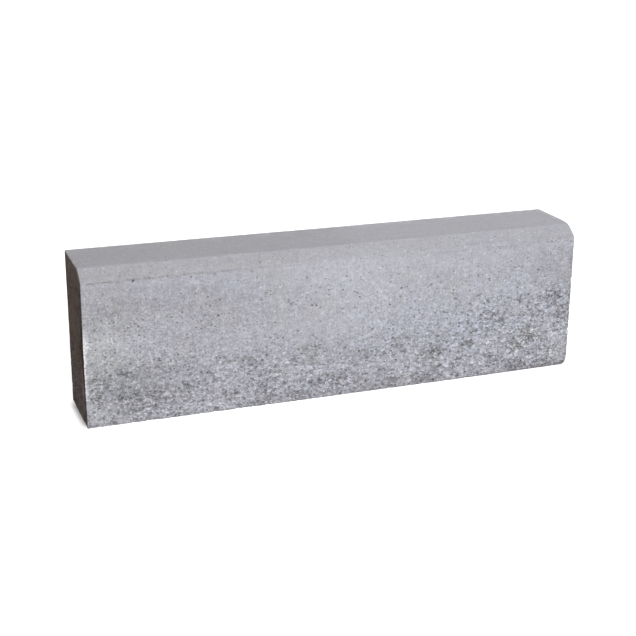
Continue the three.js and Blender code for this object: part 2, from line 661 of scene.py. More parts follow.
FRONT_VOIDS = VOIDS + bare(
    scattered(514, 66, (225, 492), (8, 176), (3.0, 6.2), (1.7, 3.1), (1.0, 2.1))
    + scattered(515, 80, (-490, 225), (6, 106), (2.6, 5.4), (1.5, 2.8), (0.9, 1.9))
)
BACK_VOIDS = bare(scattered(511, 64, (-488, 488), (10, 230), (2.4, 6.5), (2.2, 4.6), (1.1, 2.3)))
LEFT_VOIDS = bare(scattered(512, 16, (-64, 64), (10, 260), (2.2, 5.0), (2.0, 4.2), (1.0, 1.9)))
RIGHT_VOIDS = bare(scattered(513, 20, (-64, 64), (10, 260), (2.4, 6.0), (2.2, 4.6), (1.1, 2.3)))


def on_all_sides(p, z, on_front, on_back, on_left, on_right):
    """The same kind of patch on every upright face, each from its own table."""
    x, y, h = p.T
    cross = np.stack([y, y, h], 1)
    out = patches(p, on_front) * z["front"] + patches(p, on_back) * z["back"]
    ends = np.where(x < 0, patches(cross, on_left), patches(cross, on_right))
    return (out + ends * z["end"]).astype(F32)


def dark_places(p, z):
    return on_all_sides(p, z, DARK_PATCHES, BACK_DARK, LEFT_DARK, RIGHT_DARK)


def void_tables(p, z):
    x, y, h = p.T
    return (
        (FRONT_VOIDS, z["front"], x),
        (BACK_VOIDS, z["back"], x),
        (LEFT_VOIDS, z["end"] * (x < 0), y),
        (RIGHT_VOIDS, z["end"] * (x > 0), y),
    )


def voids(p, z):
    """Depth of the voids on each face."""
    deep = np.zeros(len(p), F32)
    ragged = fbm(p, 5.0, 2, 93)
    x, y, h = p.T
    for table, weight, across in void_tables(p, z):
        face = np.nonzero(weight > 0.02)[0]
        for u, v, ru, rv, depth in table:
            here = face[(np.abs(across[face] - u) < ru * 2) & (np.abs(h[face] - v) < rv * 2)]
            d = np.hypot((across[here] - u) / ru, (h[here] - v) / rv) + ragged[here] * 0.42
            deep[here] = np.maximum(deep[here], depth * (1 - smooth(d, 0.30, 1.12)) * weight[here])
    face = np.nonzero(z["front"] > 0.02)[0]
    for u, v, r, much in SPOTS:
        here = face[(np.abs(x[face] - u) < r * 2) & (np.abs(h[face] - v) < r * 2)]
        d = np.hypot(x[here] - u, h[here] - v) / r
        deep[here] = np.maximum(deep[here], (0.35 + 0.9 * much) * (1 - smooth(d, 0.3, 1.25)) * z["front"][here])
    return deep


def void_distance(p, z):
    """How far the nearest void's middle is, counted in its own half widths."""
    out = np.full(len(p), 3.0, F32)
    h = p[:, 2]
    for table, weight, across in void_tables(p, z):
        face = np.nonzero(weight > 0.3)[0]
        for u, v, ru, rv, depth in table:
            here = face[(np.abs(across[face] - u) < ru * 3.5) & (np.abs(h[face] - v) < rv * 3.5)]
            d = np.hypot((across[here] - u) / ru, (h[here] - v) / rv) * (1.22 - 0.18 * depth)
            out[here] = np.minimum(out[here], d)
    return out


def zones(p, n):
    """How much of each kind of surface shows: weights 0..1 for each vertex."""
    z = p[:, 2]
    wander = fbm(p, 90, 3, 5) * 26
    reach = 114 + 48 * smooth(p[:, 0], 40, 330) + 12 * smooth(-p[:, 0], 300, 420)
    low = smooth(reach + wander - z, -22, 30)
    is_front = smooth(-n[:, 1], 0.45, 0.8)
    is_back = smooth(n[:, 1], 0.45, 0.8)
    is_under = smooth(-n[:, 2], 0.45, 0.8)
    is_top = smooth(n[:, 2], 0.80, 0.95)
    is_cut = smooth(n[:, 2], 0.30, 0.60) * (1 - is_top) * (n[:, 1] < 0)
    is_end = smooth(np.abs(n[:, 0]), 0.62, 0.92)
    facing = smooth(z + fbm(p, 60, 2, 9) * 16, HEIGHT - 52, HEIGHT - 26)
    behind = 0.22 + 0.70 * smooth(150 + 1.5 * wander - z, -60, 60)
    side = (1 - facing) * (behind * is_back + (0.45 + 0.45 * smooth(120 + wander - z, -60, 60)) * is_end)
    coarse = np.clip(low * is_front + side + is_under, 0, 1)
    return {
        "front": is_front,
        "back": is_back,
        "under": is_under,
        "top": is_top,
        "cut": is_cut,
        "end": is_end,
        "coarse": coarse.astype(F32),
        "low": low.astype(F32),
    }


def relief(p, n, zone):
    """How deep the surface lies under the ideal face, in mm, and how much painted shade its hollows take."""
    coarse = zone["coarse"]
    warp = fbm(p, 260, 2, 3) * 0.22 + 0.06
    lumps = fbm(p, 26, 3, 11)
    grainy = fbm(p, 9.5, 3, 23, 0.6)
    hollow = np.maximum(grainy - 0.02, 0)
    dark = dark_places(p, zone)
    open_grain = coarse * (0.65 + 0.95 * dark)
    deep = warp + lumps * (0.05 + 0.34 * coarse) + open_grain * (hollow * 3.0 - 0.1)
    deep += pits(p, 11, 0.10, 0.8, 2.2, 101) * (0.35 + 0.5 * coarse)
    deep += pits(p, 7.5, 0.33, 0.9, 2.6, 137) * coarse * 0.6
    # the line where the mould's cut strip met the road face, clearest at the left
    line = np.abs(p[:, 2] - 277.4 - noise(p, 40, 12) * 0.5)
    clear = smooth(noise(p, 34, 13), -0.35, 0.55) * (0.25 + 0.75 * smooth(-p[:, 0], -260, 220)) * (1 - zone["end"])
    deep += 0.30 * (1 - smooth(line, 0.3, 1.7)) * clear * (p[:, 1] < 0)
    deep += voids(p, zone)
    # painted shade: the hollows of the open grain are darkened where shade falls in them
    hollow_shade = open_grain * (hollow * 2.2 - 0.25)
    return deep.astype(F32), hollow_shade.astype(F32)


def arris_radii(p):
    """How far each arris is worn round, in mm."""
    along = np.column_stack([p[:, 0], p[:, 1] * 0, p[:, 2] * 0]).astype(F32)
    x, y, z = p.T
    in_front = smooth(-y, 0, 60)
    worn_corner = np.exp(-(((HALF - x) / 20) ** 2 + ((y - FRONT) / 30) ** 2 + (z / 14) ** 2))
    front_low = np.interp(x, (-500, -100, 200, 430, 500), (0.6, 1.1, 3.2, 7.0, 9.0))
    worn_low = 1 - 0.5 * in_front * smooth(-x, -150, 50)
    knocked = np.exp(-(((HALF - x) / 26) ** 2 + ((y - FRONT - CUT_BACK) / 26) ** 2 + ((HEIGHT - z) / 26) ** 2))
    radii = {
        "top_break": 3.7 + noise(along, 60, 61) * 0.5 + 3.5 * smooth(x, 440, 500),
        "front_break": 2.35 + noise(along, 45, 62) * 0.5 + 2.2 * smooth(x, 20, 300),
        "back": 0.6 + 0.5 * np.abs(fbm(p, 30, 3, 63)) + 0.3 * np.maximum(fbm(p, 9, 2, 64), 0),
        "under": (1.0 + 1.2 * smooth(x, -480, -400)) * (1 - in_front)
        + front_low * in_front
        + worn_low * (0.9 * np.abs(fbm(p, 26, 3, 65)) + 0.7 * np.maximum(fbm(p, 8, 2, 66), 0)),
        "end": 0.6
        + 0.6 * np.abs(fbm(p, 24, 3, 67))
        + 0.5 * np.maximum(fbm(p, 7, 2, 68), 0)
        + 1.3 * smooth(-x, 0, 400) * smooth(-y, 40, 70) * smooth(z, 150, 215)
        + 9.0 * worn_corner
        + 4.5 * knocked,
    }
    return {k: v.astype(F32) for k, v in radii.items()}


def main_block():
    verts, tris = build_prism()
    p = verts.copy()
    radii = arris_radii(p)
    for _ in range(4):
        d, g = block_field(p, radii)
        p -= (d / np.maximum((g * g).sum(1), 0.05))[:, None] * g
    _, g = block_field(p, radii)
    n = g / np.maximum(np.linalg.norm(g, axis=1), 1e-6)[:, None]
    zone = zones(p, n)
    deep, hollow = relief(p, n, zone)
    p = p - n * (deep * (1 - 0.6 * zone["under"]))[:, None]
    p = chip(p)
    return out_of_square(p), tris, hollow, zone


def out_of_square(p):
    """A millimetre or two of casting tolerance: the block is a little taller at its left."""
    x, y, z = p.T
    up = z / F32(HEIGHT)
    to_left = smooth(-x, -100, 500)
    longer = 0.9 * x / HALF - 1.3 * smooth(-x, 200, 500) * smooth(y, FRONT, BACK) * (1 - up)
    # the left end lies a touch askew: its front arris stands further in, most of all at the top
    askew = (0.6 + 0.6 * smooth(z, 150, 205) + 0.6 * smooth(z, 215, 255)) * smooth(-x, 440, 500) * smooth(-y, 20, 75)
    return np.stack([x + longer + askew, y - 1.5 * to_left * (1 - up) * (y < 0), z + up * (0.3 + 1.1 * to_left)], 1).astype(F32)


def chip(p):
    """Breaks along the arrises: scoops cut by spheres that reach in from outside."""
    rng = np.random.default_rng(77)
    cuts = []

    def along_edge(count, fixed, axis, low, high, out, depth, radius):
        for _ in range(count):
            at = np.array(fixed, float)
            at[axis] = rng.uniform(low, high)
            d = depth[0] + (depth[1] - depth[0]) * rng.random() ** 2.2
            r = rng.uniform(*radius) * (0.6 + 0.25 * d)
            m = np.array(out, float) + rng.normal(0, 0.18, 3)
            m /= np.linalg.norm(m)
            cuts.append((at, m, d, r))

    # long edges: front bottom, back top, back bottom
    along_edge(44, (0, FRONT, 0), 0, -HALF, 60, (0, -1, -1), (0.7, 2.8), (3, 8))
    along_edge(26, (0, FRONT, 0), 0, 60, HALF - 20, (0, -1, -1), (1.6, 3.0), (4, 10))
    along_edge(26, (0, BACK, HEIGHT), 0, -HALF, HALF, (0, 1, 1), (0.5, 1.3), (4, 12))
    along_edge(60, (0, BACK, 0), 0, -HALF, HALF, (0, 1, -1), (1.2, 4.8), (4, 15))
    for x, d, r in ((-411, 2.4, 5), (-386, 3.4, 6), (-256, 3.0, 6), (-211, 3.6, 7), (-190, 2.6, 5), (-152, 3.4, 6)):
        cuts.append((np.array((x, FRONT, 0.0)), np.array((0, -0.8, -0.6)), d, r))
    for z, d, r in ((186, 2.4, 8), (94, 1.6, 8), (80, 1.8, 7), (141, 1.0, 6), (40, 1.2, 6)):
        cuts.append((np.array((HALF, FRONT, float(z))), np.array((0.82, -0.57, 0)), d, r))
    for sx in (-1, 1):
        x = sx * HALF
        wear = 0.5
        along_edge(20, (x, FRONT, 0), 2, 0, HEIGHT - CUT_DOWN, (sx, -1, 0), (0.7 * wear, 2.6 * wear), (4, 12))
        along_edge(16, (x, BACK, 0), 2, 0, HEIGHT, (sx, 1, 0), (0.4 * wear, 2.6 * wear), (4, 13))
        along_edge(9, (x, 0, HEIGHT), 1, FRONT + CUT_BACK, BACK, (sx, 0, 1), (0.5, 1.3), (4, 11))
        if sx > 0:
            along_edge(16, (x, 0, 0), 1, FRONT, BACK, (sx, 0, -1), (1.2, 3.6), (4, 13))
        else:
            along_edge(8, (x, 0, 0), 1, FRONT, BACK, (sx, 0, -1), (0.5, 1.6), (4, 9))
    for at, m, d, r in cuts:
        centre = (at + m * (r - d)).astype(F32)
        near = np.nonzero(
            (np.abs(p[:, 0] - centre[0]) < r)
            & (np.abs(p[:, 1] - centre[1]) < r)
            & (np.abs(p[:, 2] - centre[2]) < r)
        )[0]
        if not len(near):
            continue
        q = p[near] - centre
        rough = 1 + noise(p[near], 4.5, 301) * 0.10
        dist = np.linalg.norm(q, axis=1)
        want = r * rough
        inside = dist < want
        q[inside] *= (want[inside] / np.maximum(dist[inside], 0.5))[:, None]
        p[near] = q + centre
    return p


def make_mesh(name, p, tris, floats):
    mesh = bpy.data.meshes.new(name)
    mesh.vertices.add(len(p))
    mesh.vertices.foreach_set("co", (p * F32(0.001)).astype(F32).ravel())
    mesh.loops.add(tris.size)
    mesh.loops.foreach_set("vertex_index", tris.astype(np.int32).ravel())
    mesh.polygons.add(len(tris))
    mesh.polygons.foreach_set("loop_start", np.arange(0, tris.size, 3, dtype=np.int32))
    mesh.polygons.foreach_set("use_smooth", np.ones(len(tris), bool))
    mesh.update(calc_edges=True)
    for key, values in floats.items():
        layer = mesh.attributes.new(key, "FLOAT", "POINT")
        layer.data.foreach_set("value", values.astype(F32))
    mesh.validate()
    return mesh


# --- the worn block, fitted to its triangle budget ---
p, tris, hollow, zone = main_block()
dense = make_mesh("dense", p, tris, {"hollow": hollow, "coarse": zone["coarse"]})
kerb = bpy.data.objects.new("kerb_stone_cast", dense)
bpy.context.scene.collection.objects.link(kerb)
dec = kerb.modifiers.new("fit", "DECIMATE")
dec.ratio = TRIANGLES / len(tris)
dec.use_collapse_triangulate = True
dg = bpy.context.evaluated_depsgraph_get()
final = bpy.data.meshes.new_from_object(kerb.evaluated_get(dg), preserve_all_data_layers=True, depsgraph=dg)
kerb.modifiers.clear()
kerb.data = final
bpy.data.meshes.remove(dense)
final.name = "kerb_stone_cast"
# --- the block is ready ---

# ---------------------------------------------------------------------------
# Masks that the material reads, one number for each vertex
# ---------------------------------------------------------------------------
def vertex_masks(mesh):
    count = len(mesh.vertices)
    co = np.empty(count * 3, F32)
    mesh.vertices.foreach_get("co", co)
    co = co.reshape(-1, 3) * F32(1000)
    radii = {k: np.full(count, r, F32) for k, r in (("top_break", 3.7), ("front_break", 2.35), ("back", 2), ("under", 2), ("end", 2))}
    _, g = block_field(co, radii)
    n = g / np.maximum(np.linalg.norm(g, axis=1), 1e-6)[:, None]
    z = zones(co, n)
    front, cut, top, back, under, end = (f[0] for f in face_fields(co))
    # depth under the second nearest face: small beside an arris
    depth = np.sort(-np.stack([front, top, back, under, end], 1), axis=1)[:, 1]
    arris = np.exp(-np.maximum(depth, 0) / 2.2)
    spotty = smooth(fbm(co, 8, 2, 31, 0.6), -0.35, 0.3)
    # grain is faint on the tread and the top of the road face, and grows downwards
    x, y, h = co.T
    grows = np.interp(h, (0, 20, 42, 70, 100, 140, 180, 220, 256, 278), (0.93, 0.95, 1.00, 0.91, 0.77, 0.635, 0.55, 0.485, 0.37, 0.33))
    grows = grows + 0.28 * smooth(x, 150, 330) * smooth(-np.abs(h - 115), -75, -35)
    grows = grows * (1 + smooth(h, 140, 180) * (0.07 * smooth(x, 250, 380) - 0.07 * smooth(-np.abs(x), -300, -150)))
    road = np.maximum(z["front"] - z["cut"], 0)
    weight = road + z["cut"] + z["top"] + z["back"] + z["under"] + z["end"]
    grain = (
        road * grows
        + z["cut"] * 0.24
        + z["top"] * 0.12
        + z["back"] * (0.36 + 0.62 * z["coarse"])
        + z["under"]
        + z["end"] * (0.45 + 0.45 * z["coarse"])
    ) / np.maximum(weight, 0.3)
    dark = dark_places(co, z)
    grain = grain * (1 + 0.30 * fbm(co, 48, 2, 33) + 0.25 * dark + total(co, GRAIN_FIELD) * road)
    # painted highlight: a pale line down the left arris of the road face
    to_left = np.hypot(x + HALF, np.maximum(y - FRONT, 0) * 0.9)
    edge_highlight = np.exp(-((to_left / 2.8) ** 2)) * np.interp(h, (0, 42, 56, 64, 76, 100, 122, 140, 160, 172, 184, 196), (0, 0, 0.5, 0.9, 0.8, 1.25, 1.1, 1.3, 1.3, 1.1, 0.6, 0))
    layers = {
        "grain": grain,
        "coarse": z["coarse"],
        "front": road,
        "cut": z["cut"],
        "top": z["top"],
        "end": z["end"],
        "left": z["end"] * (x < 0),
        "dark": dark * (0.38 + 0.69 * spotty),
        "pale": patches(co, PALE_PATCHES) * z["front"] + patches(co, BACK_PALE) * z["back"],
        "green": patches(co, GREEN_PATCHES) * z["front"],
        "blue": patches(co, BLUE_PATCHES) * z["front"],
        "drip": 1.35 * blob(co, -420, 170, 95, 82) * z["front"]
        + (blob(co, -180, 215, 70, 70) + blob(co, 290, 190, 60, 90) + 0.6 * blob(co, 60, 240, 40, 50)) * z["back"],
        "arris": arris,
        "void": void_distance(co, z),
        "edge_highlight": edge_highlight * (n[:, 1] < -0.25),
        "tone": tone_and_painted_light(co, z, road),
    }
    for key, values in layers.items():
        if key in mesh.attributes:
            mesh.attributes.remove(mesh.attributes[key])
        mesh.attributes.new(key, "FLOAT", "POINT").data.foreach_set("value", np.ascontiguousarray(values, F32))


def tone_and_painted_light(p, z, road):
    """Slow changes of tone, as a share of the whole, painted light and shade among them."""
    x, y, h = p.T
    # painted light: the road face is lighter towards its top and its middle and darker towards both ends and lower
    # down, as the light falls off across it
    face = 0.02 * smooth(h, 220, 265) - 0.01 * smooth(-h, -125, -90) - 0.01 * smooth(-h, -50, -10)
    face = face - 0.05 * smooth(-x, 10, 300) - 0.03 * smooth(x, 300, 460) * smooth(h, 90, 160)
    face = face + 0.02 * smooth(x, 0, 200) * smooth(-h, -110, -60)
    # painted shade along the foot of the road face, in its last few millimetres
    at_left, at_right = 1 - smooth(x, -260, -110), smooth(x, 110, 230)
    face = face - 0.11 * at_left * smooth(-h, -10, -5) - 0.16 * at_right * smooth(-h, -13, -6)
    face = face - 0.17 * (1 - at_left - at_right) * smooth(-h, -20, -6)
    # painted shade down the rounded right arris of the road face, which turns away from the light
    face = face - 0.28 * smooth(x, 488, 500) * smooth(h, 6, 30) * smooth(-h, -264, -240) * (1 + 0.5 * noise(p, 10, 79))
    face = face + total(p, FIELD)
    # painted light: the tread is lighter towards the right
    tread = -0.055 + 0.085 * smooth(x, 0, 60) + 0.01 * smooth(y, 20, 75)
    tread = tread + 0.45 * total(np.stack([x, y, y], 1), TREAD_FIELD)
    cross = total(np.stack([y, y, h], 1), END_FIELD) * (x < 0)
    # the back takes the same painted fall of light, lighter at the top and darker towards the bottom, with slow
    # mottling
    behind = 0.05 * smooth(h, 200, 268) - 0.07 * smooth(-h, -130, -60) + 0.06 * fbm(p, 120, 3, 73)
    slow = fbm(p, 160, 2, 71) * 0.02
    face_of_cut = 0.4 * face - 0.03 * smooth(-x, 250, 450)
    return face * road + face_of_cut * z["cut"] + tread * (z["top"] + 0.35 * z["cut"]) + cross * z["end"] + behind * z["back"] + slow


vertex_masks(final)


# ---------------------------------------------------------------------------
# Flat layout: each face of the block lies in its own strip, none over another
# ---------------------------------------------------------------------------
def lay_flat(mesh, gap=6.0):
    co = np.empty(len(mesh.vertices) * 3, F32)
    mesh.vertices.foreach_get("co", co)
    co = co.reshape(-1, 3) * F32(1000)
    corner = np.empty(len(mesh.loops), np.int32)
    mesh.loops.foreach_get("vertex_index", corner)
    corner = corner.reshape(-1, 3)
    middle = co[corner].mean(1)
    which = np.argmax(np.stack([f[0] for f in face_fields(middle)], 1), axis=1)
    which = np.where((which == 5) & (middle[:, 0] < 0), 6, which)
    c = math.hypot(CUT_DOWN, CUT_BACK)
    x, y, z = co.T
    slope = (y - FRONT) * F32(CUT_BACK / c) + (z - (HEIGHT - CUT_DOWN)) * F32(CUT_DOWN / c)
    axes = [(x, z), (x, slope), (x, y), (-x, z), (x, -y), (z, -y), (z, y)]
    uv = np.zeros((len(corner), 3, 2), F32)
    low = gap
    widest = 0.0
    for strip in ((5, 6), (4,), (3,), (0,), (1,), (2,)):
        across, tall = gap, 0.0
        for k in strip:
            mine = np.nonzero(which == k)[0]
            u, v = axes[k][0][corner[mine]], axes[k][1][corner[mine]]
            uv[mine, :, 0] = u - u.min() + across
            uv[mine, :, 1] = v - v.min() + low
            across += float(u.max() - u.min()) + gap
            tall = max(tall, float(v.max() - v.min()))
        low += tall + gap
        widest = max(widest, across)
    uv /= F32(max(low, widest))
    mesh.uv_layers.new(name="OFBake").data.foreach_set("uv", np.ascontiguousarray(uv, F32).ravel())


lay_flat(final)


# ---------------------------------------------------------------------------
# Material
# ---------------------------------------------------------------------------
class Graph:
    """Short names for shader nodes; every argument is a number or a socket."""

    def __init__(self, tree):
        self.tree = tree

    def put(self, socket, v):
        if isinstance(v, bpy.types.NodeSocket):
            self.tree.links.new(v, socket)
        else:
            socket.default_value = v

    def new(self, kind, **settings):
        node = self.tree.nodes.new(kind)
        for k, v in settings.items():
            setattr(node, k, v)
        return node

    def math(self, op, a, b=0.0, c=0.0, clamp=False):
        node = self.new("ShaderNodeMath", operation=op, use_clamp=clamp)
        for socket, v in zip(node.inputs, (a, b, c)):
            self.put(socket, v)
        return node.outputs[0]

    def add(self, *terms):
        total = terms[0]
        for t in terms[1:]:
            total = self.math("ADD", total, t)
        return total

    def mul(self, *terms):
        total = terms[0]
        for t in terms[1:]:
            total = self.math("MULTIPLY", total, t)
        return total

    def lerp(self, a, b, t):
        return self.math("MULTIPLY_ADD", self.math("SUBTRACT", b, a), t, a)

    def ramp(self, v, low, high, to_low=0.0, to_high=1.0):
        node = self.new("ShaderNodeMapRange", interpolation_type="SMOOTHSTEP")
        for key, x in (("Value", v), ("From Min", low), ("From Max", high), ("To Min", to_low), ("To Max", to_high)):
            self.put(node.inputs[key], x)
        return node.outputs["Result"]

    def vec(self, op, a, b=(0, 0, 0), scale=None):
        node = self.new("ShaderNodeVectorMath", operation=op)
        self.put(node.inputs[0], a)
        if op not in ("SCALE", "LENGTH"):
            self.put(node.inputs[1], b)
        if scale is not None:
            self.put(node.inputs["Scale"], scale)
        return node.outputs["Value"] if op in ("LENGTH", "DOT_PRODUCT", "DISTANCE") else node.outputs["Vector"]

    def mask(self, name):
        return self.new("ShaderNodeAttribute", attribute_name=name).outputs["Fac"]

    def place(self, at, seed, stretch=(1, 1, 1)):
        node = self.new("ShaderNodeMapping")
        self.put(node.inputs["Vector"], at)
        node.inputs["Location"].default_value = (seed * 13.7, seed * 7.3, seed * 3.9)
        node.inputs["Scale"].default_value = tuple(1.0 / k for k in stretch)
        return node.outputs[0]

    def noise(self, at, size, seed, detail=2.0, rough=0.55, stretch=(1, 1, 1)):
        """Signed noise, about -1..1, with features of about `size` mm."""
        node = self.new("ShaderNodeTexNoise")
        self.put(node.inputs["Vector"], self.place(at, seed, stretch))
        node.inputs["Scale"].default_value = 1.0 / size
        node.inputs["Detail"].default_value = detail
        node.inputs["Roughness"].default_value = rough
        return self.math("MULTIPLY_ADD", node.outputs[0], 3.4, -1.7)

    def cells(self, at, size, seed, stretch=(1, 1, 1)):
        """Distance to the nearest cell centre (in cells) and three random numbers of that cell."""
        node = self.new("ShaderNodeTexVoronoi", feature="F1")
        self.put(node.inputs["Vector"], self.place(at, seed, stretch))
        node.inputs["Scale"].default_value = 1.0 / size
        split = self.new("ShaderNodeSeparateColor")
        self.tree.links.new(node.outputs["Color"], split.inputs[0])
        return node.outputs["Distance"], split.outputs[0], split.outputs[1], split.outputs[2]


TONE_GAIN = 1.0
RELIEF_GAIN = 1.0
mat = bpy.data.materials.new("cast_concrete")
mat.use_nodes = True
tree = mat.node_tree
G = Graph(tree)
bsdf = tree.nodes["Principled BSDF"]
at = G.vec("SCALE", G.new("ShaderNodeTexCoord").outputs["Object"], scale=1000.0)
place = G.new("ShaderNodeSeparateXYZ")
G.put(place.inputs[0], at)
px, pz = place.outputs["X"], place.outputs["Z"]

coarse, front, cut, top, end, grain = (G.mask(k) for k in ("coarse", "front", "cut", "top", "end", "grain"))
left, dark, pale, green, blue = (G.mask(k) for k in ("left", "dark", "pale", "green", "blue"))
drip, arris, edge_highlight, tone_and_light_map, hollow_shade_map = (G.mask(k) for k in ("drip", "arris", "edge_highlight", "tone", "hollow"))
void_map = G.mask("void")

# --- grain: the same noises drive colour and bump ---
wobble = G.new("ShaderNodeTexNoise")
G.put(wobble.inputs["Vector"], at)
wobble.inputs["Scale"].default_value = 1 / 5.0
bent = G.vec("ADD", at, G.vec("SCALE", G.vec("SUBTRACT", wobble.outputs["Color"], (0.5, 0.5, 0.5)), scale=4.5))
grit = G.noise(at, 2.6, 1, 1.0, 0.6)
sand = G.noise(at, 4.4, 2, 1.5, 0.6)
clot = G.noise(bent, 9.0, 3, 2.0, 0.55, stretch=(1.15, 1.15, 0.9))
clump = G.noise(bent, 19, 11, 2.0, 0.55)
cloud = G.noise(at, 42, 4, 3.0, 0.55)
broad = G.noise(at, 150, 5, 2.0, 0.5)
drag = G.noise(at, 3.4, 6, 2.0, 0.6, stretch=(1, 1, 14))
trickle = G.noise(at, 8.0, 14, 2.0, 0.5, stretch=(1, 1, 12))
swipe = G.noise(at, 3.0, 7, 2.0, 0.6, stretch=(26, 1, 1))
speck_d, speck_a, speck_b, speck_c = G.cells(bent, 3.3, 8, (1.12, 1.12, 0.92))
pore_d, pore_a, pore_b, pore_c = G.cells(bent, 7.2, 10, (1.25, 1.25, 0.85))

speck = G.ramp(speck_d, 0.66, 0.34)


def some(pick, chance, soft=0.04):
    """Only the cells whose random number lies above 1 - chance."""
    edge = G.math("SUBTRACT", 1.0, chance)
    return G.ramp(pick, edge, G.add(edge, soft))


pale_speck = G.mul(speck, some(speck_a, G.lerp(0.05, 0.14, coarse)))
# dark specks gather in swarms
swarm = G.ramp(G.add(cloud, G.mul(clump, 0.6)), -0.5, 0.9)
dark_speck = G.mul(speck, some(speck_b, G.lerp(G.lerp(0.03, 0.13, swarm), G.lerp(0.15, 0.28, swarm), coarse)))
stone = G.mul(G.ramp(pore_d, 0.62, 0.34), G.ramp(pore_c, 0.80, 0.93))
# pores and the gaps between the larger grains
open_here = G.ramp(G.add(clump, G.mul(cloud, 0.7), G.mul(dark, 1.3)), -0.9, 1.0)
pore_size = G.mul(G.math("MULTIPLY_ADD", pore_b, 0.30, 0.16), G.lerp(0.40, 1.10, grain))
pore = G.mul(
    G.ramp(pore_d, pore_size, G.mul(pore_size, 0.6)),
    some(pore_a, G.add(G.lerp(0.03, 0.44, grain), G.mul(dark, 0.2)), 0.06),
    G.math("SUBTRACT", 1.0, G.mul(top, 0.85)),
)
gap = G.mul(G.ramp(pore_d, 0.48, 0.78), open_here, G.math("POWER", grain, 2.0))
rim = G.mul(G.ramp(pore_d, 0.50, 0.20), G.ramp(pore_a, 0.52, 0.40), grain)
# sand grains: each its own shade, with darker paste between them
kernel = G.add(G.mul(G.math("SUBTRACT", speck_c, 0.5), 0.26), G.ramp(speck_d, 0.42, 0.78, 0.03, -0.09))

ripple = G.add(
    G.mul(grit, G.lerp(0.40, 0.23, coarse)),
    G.mul(sand, G.lerp(0.37, 0.20, coarse)),
    kernel,
    G.mul(clot, G.lerp(0.25, 0.29, coarse)),
    G.mul(clump, G.lerp(0.23, 0.20, coarse)),
    G.mul(cloud, G.lerp(0.12, 0.13, coarse)),
)
# drawn streaks along the break, clearest at the right, over a band of painted shade just under the break
crease = G.mul(G.ramp(G.math("ABSOLUTE", G.math("SUBTRACT", pz, 275.0)), 11, 3), G.ramp(px, 40, 260), G.math("MAXIMUM", front, cut))
tone = G.add(
    1.0,
    G.mul(ripple, grain, TONE_GAIN),
    G.mul(cloud, 0.006),
    G.mul(broad, 0.010),
    tone_and_light_map,
    G.mul(drag, front, 0.055),
    G.mul(trickle, drip, 0.085),
    G.mul(swipe, top, 0.026),
    G.mul(grit, top, 0.022),
    G.mul(G.math("MULTIPLY_ADD", swipe, 0.12, -0.045), crease),
)
# darkening adds up, but never to black: painted shade in the hollows, voids, pores and gaps between grains, with the
# concrete's own dark patches and specks
dim = G.add(
    G.mul(G.math("MAXIMUM", hollow_shade_map, 0.0), 0.40),
    G.mul(dark, G.ramp(G.add(clot, G.mul(sand, 0.7), G.mul(clump, 0.6)), 0.65, -0.65), 0.52),
    G.mul(G.ramp(G.add(void_map, G.mul(sand, 0.20), G.mul(grit, 0.10)), 1.12, 0.55), 0.95),
    G.mul(gap, 0.58),
    G.mul(pore, G.lerp(0.32, 1.40, grain)),
    G.mul(dark_speck, G.lerp(0.38, 0.50, grain)),
)
tone = G.mul(tone, G.math("SUBTRACT", 1.0, G.math("DIVIDE", dim, G.math("MULTIPLY_ADD", dim, 1.5, 1.0))))
tone = G.add(tone, G.mul(rim, 0.10))
tone = G.add(tone, G.mul(pale_speck, G.lerp(0.26, 0.42, grain)), G.mul(stone, coarse, 0.06))
tone = G.add(tone, G.mul(pale, G.ramp(G.add(drag, G.mul(sand, 0.6)), -0.9, 0.9, 0.3, 1.0), 0.09))
# the painted highlight on the left arris, broken up by the grain
edge_highlight_grained = G.mul(edge_highlight, G.ramp(G.add(sand, G.mul(clot, 0.6)), -0.7, 0.5, 0.55, 1.0))
tone = G.add(tone, G.mul(arris, G.ramp(sand, -0.5, 0.6), front, 0.02), G.mul(edge_highlight_grained, 1.1))

# --- marks ---
flat_at = G.vec("MULTIPLY", at, (1, 0, 1))
squat_at = G.vec("MULTIPLY", at, (0.72, 0, 1))


def dots(table, core):
    mask = 0.0
    for x, z, r, much in table:
        d = G.vec("DISTANCE", squat_at, (x * 0.72, 0, z))
        mask = G.math("MAXIMUM", mask, G.ramp(G.add(d, G.mul(grit, 0.55), G.mul(sand, 0.3)), r, r * core, 0.0, much))
    return G.mul(mask, front)


# painted shade inside the small holes
pit_mask = dots([(x, z, r + 0.4, min(1.0, much * 1.2)) for x, z, r, much in SPOTS], 0.40)
grain_mask = dots(GRAINS, 0.25)
scrape_mask = 0.0
for x1, z1, x2, z2, r, much in SCRAPES:
    span = Vector((x2 - x1, 0, z2 - z1))
    rel = G.vec("SUBTRACT", flat_at, (x1, 0, z1))
    t = G.math("DIVIDE", G.vec("DOT_PRODUCT", rel, tuple(span)), span.length_squared, clamp=True)
    node = G.new("ShaderNodeVectorMath", operation="SCALE")
    node.inputs[0].default_value = tuple(span)
    G.put(node.inputs["Scale"], t)
    d = G.vec("DISTANCE", rel, node.outputs[0])
    scrape_mask = G.math("MAXIMUM", scrape_mask, G.ramp(G.add(d, G.mul(grit, 0.5)), r * 1.9, r * 0.6, 0.0, much))
scrape_mask = G.mul(scrape_mask, G.math("MAXIMUM", front, cut))
